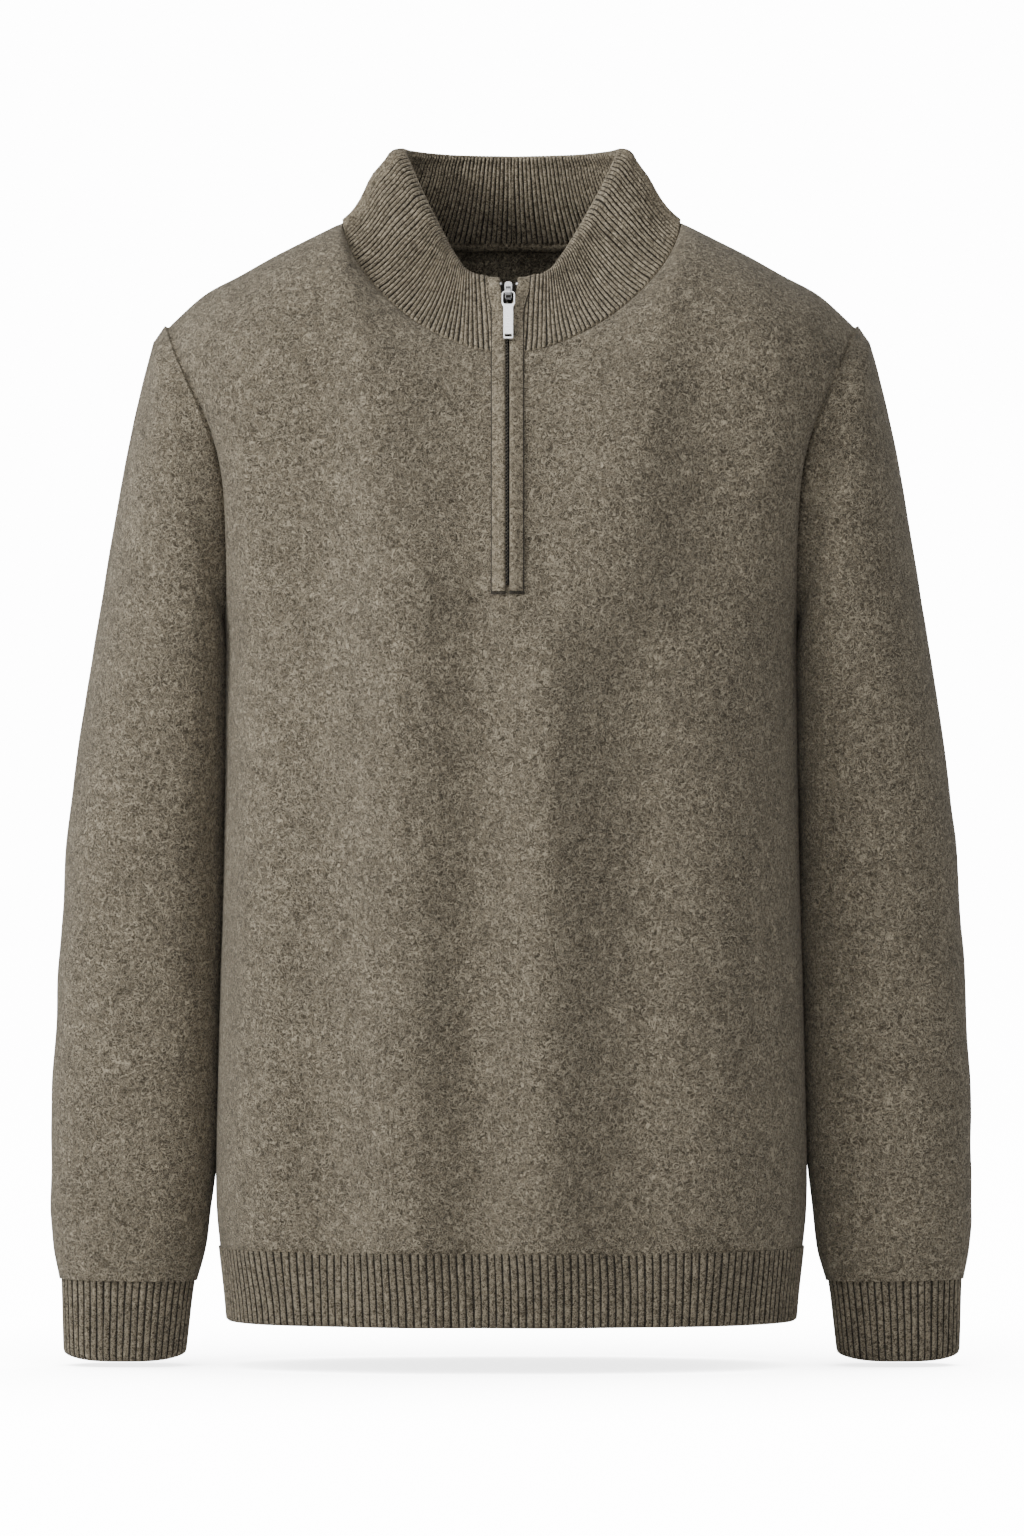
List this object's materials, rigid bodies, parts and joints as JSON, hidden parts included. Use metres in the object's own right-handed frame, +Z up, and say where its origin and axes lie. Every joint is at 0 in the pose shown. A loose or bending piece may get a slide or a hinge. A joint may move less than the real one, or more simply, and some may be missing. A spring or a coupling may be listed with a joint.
{
  "type": "quarter zip sweater",
  "caption": "Knit pullover filled out as if worn, with a ribbed funnel collar, a short front zip with a pull tab, long set-in sleeves, and ribbed cuffs and hem.",
  "frame": {"origin": "midway between the two side neck points, where the wearer's shoulders hold the sweater", "axes": "+Z up, the front faces -Y, +X to the right as seen from the front"},
  "size_m": [0.586, 0.2503, 0.763],
  "materials": {
    "knit": "heathered taupe felted wool, plain knit",
    "rib": "heathered taupe wool, ribbed knit",
    "zip_tape": "woven dark taupe tape",
    "zip_teeth": "dark taupe teeth",
    "zip_metal": "polished nickel"
  },
  "bodies": {
    "garment": {"front": "knit", "back": "knit", "sleeve_left": "knit", "sleeve_right": "knit", "collar": "rib", "hem_rib_front": "rib", "hem_rib_back": "rib", "cuff_left": "rib", "cuff_right": "rib", "placket_strip_left": "knit", "placket_strip_right": "knit", "zip_tape_left": "zip_tape", "zip_tape_right": "zip_tape", "zip_chain": "zip_teeth", "neck_seam_tape": "rib", "zip_slider": "zip_metal"},
    "pull": {"pull_tab": "zip_metal"}
  },
  "joints": [
    {"name": "pull_hinge", "type": "hinge", "parent": "garment", "child": "pull", "pos_m": [-0.002, -0.07131, -0.04773], "axis": [-1, 0, 0], "range_deg": [0, 150]}
  ]
}
